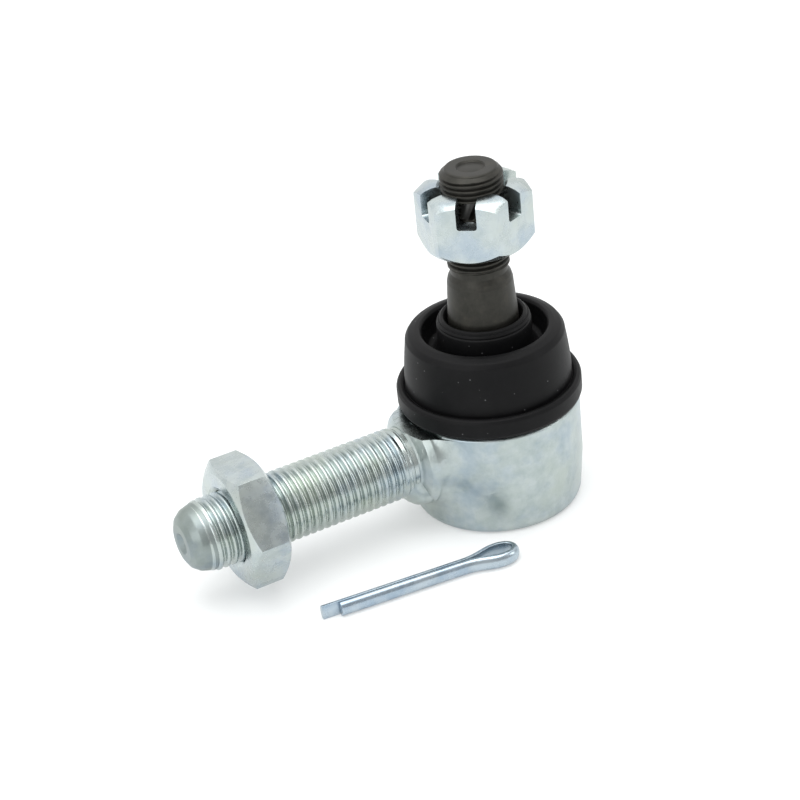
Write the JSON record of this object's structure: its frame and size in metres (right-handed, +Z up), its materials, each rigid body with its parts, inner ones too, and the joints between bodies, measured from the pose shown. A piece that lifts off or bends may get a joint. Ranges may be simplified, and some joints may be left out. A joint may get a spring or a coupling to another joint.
{
  "type": "tie rod end",
  "caption": "Outer tie rod end: zinc-plated forged housing with threaded shank and jam nut, ball stud with castle nut, rubber dust boot and a loose cotter pin.",
  "frame": {"origin": "centre of the housing's base face, straight below the ball centre", "axes": "+Z up along the ball stud, +X along the threaded shank towards its tip"},
  "size_m": [0.0843, 0.0426, 0.0694],
  "materials": {
    "zinc_plated_forging": "bright bluish zinc plate over a forged and machined surface",
    "zinc_plated_nut": "bright zinc plate, smoother and a little lighter than the housing",
    "zinc_plated_wire": "blue passivated zinc plate on drawn half-round wire",
    "phosphated_steel": "dark grey-brown phosphated steel, lightly oiled",
    "spring_steel": "plain grey spring steel",
    "seat_plastic": "natural off-white acetal, greased",
    "boot_rubber": "black moulded chloroprene rubber with a soft sheen"
  },
  "bodies": {
    "housing": {"housing": "zinc_plated_forging", "upper_seat": "seat_plastic", "lower_seat": "seat_plastic", "preload_spring": "spring_steel", "closing_plate": "zinc_plated_forging", "boot_press_ring": "spring_steel", "boot_base": "boot_rubber"},
    "boot_middle": {"boot_wall": "boot_rubber"},
    "boot_top": {"boot_fold": "boot_rubber"},
    "stud": {"ball_stud": "phosphated_steel"},
    "castle_nut": {"castle_nut": "zinc_plated_nut"},
    "jam_nut": {"jam_nut": "zinc_plated_nut"},
    "cotter_pin": {"cotter_pin": "zinc_plated_wire"}
  },
  "joints": [
    {"name": "swing_x", "type": "hinge", "parent": "housing", "child": "boot_middle", "pos_m": [0, 0, 0.0143], "axis": [1, 0, 0], "range_deg": [-18, 18], "deforming": ["boot_wall"]},
    {"name": "swing_y", "type": "hinge", "parent": "boot_middle", "child": "boot_top", "pos_m": [0, 0, 0.0143], "axis": [0, 1, 0], "range_deg": [-18, 18], "deforming": ["boot_fold"]},
    {"name": "stud_spin", "type": "hinge", "parent": "boot_top", "child": "stud", "pos_m": [0, 0, 0.0143], "axis": [0, 0, 1], "continuous": true},
    {"name": "castle_nut_travel", "type": "slide", "parent": "stud", "child": "castle_nut", "axis": [0, 0, 1], "range_m": [-0.0034, 0.02]},
    {"name": "jam_nut_travel", "type": "slide", "parent": "housing", "child": "jam_nut", "axis": [1, 0, 0], "range_m": [-0.0265, 0.022]},
    {"name": "cotter_pin_lift", "type": "slide", "parent": "housing", "child": "cotter_pin", "axis": [0, 0, 1], "range_m": [0, 0.06]}
  ]
}
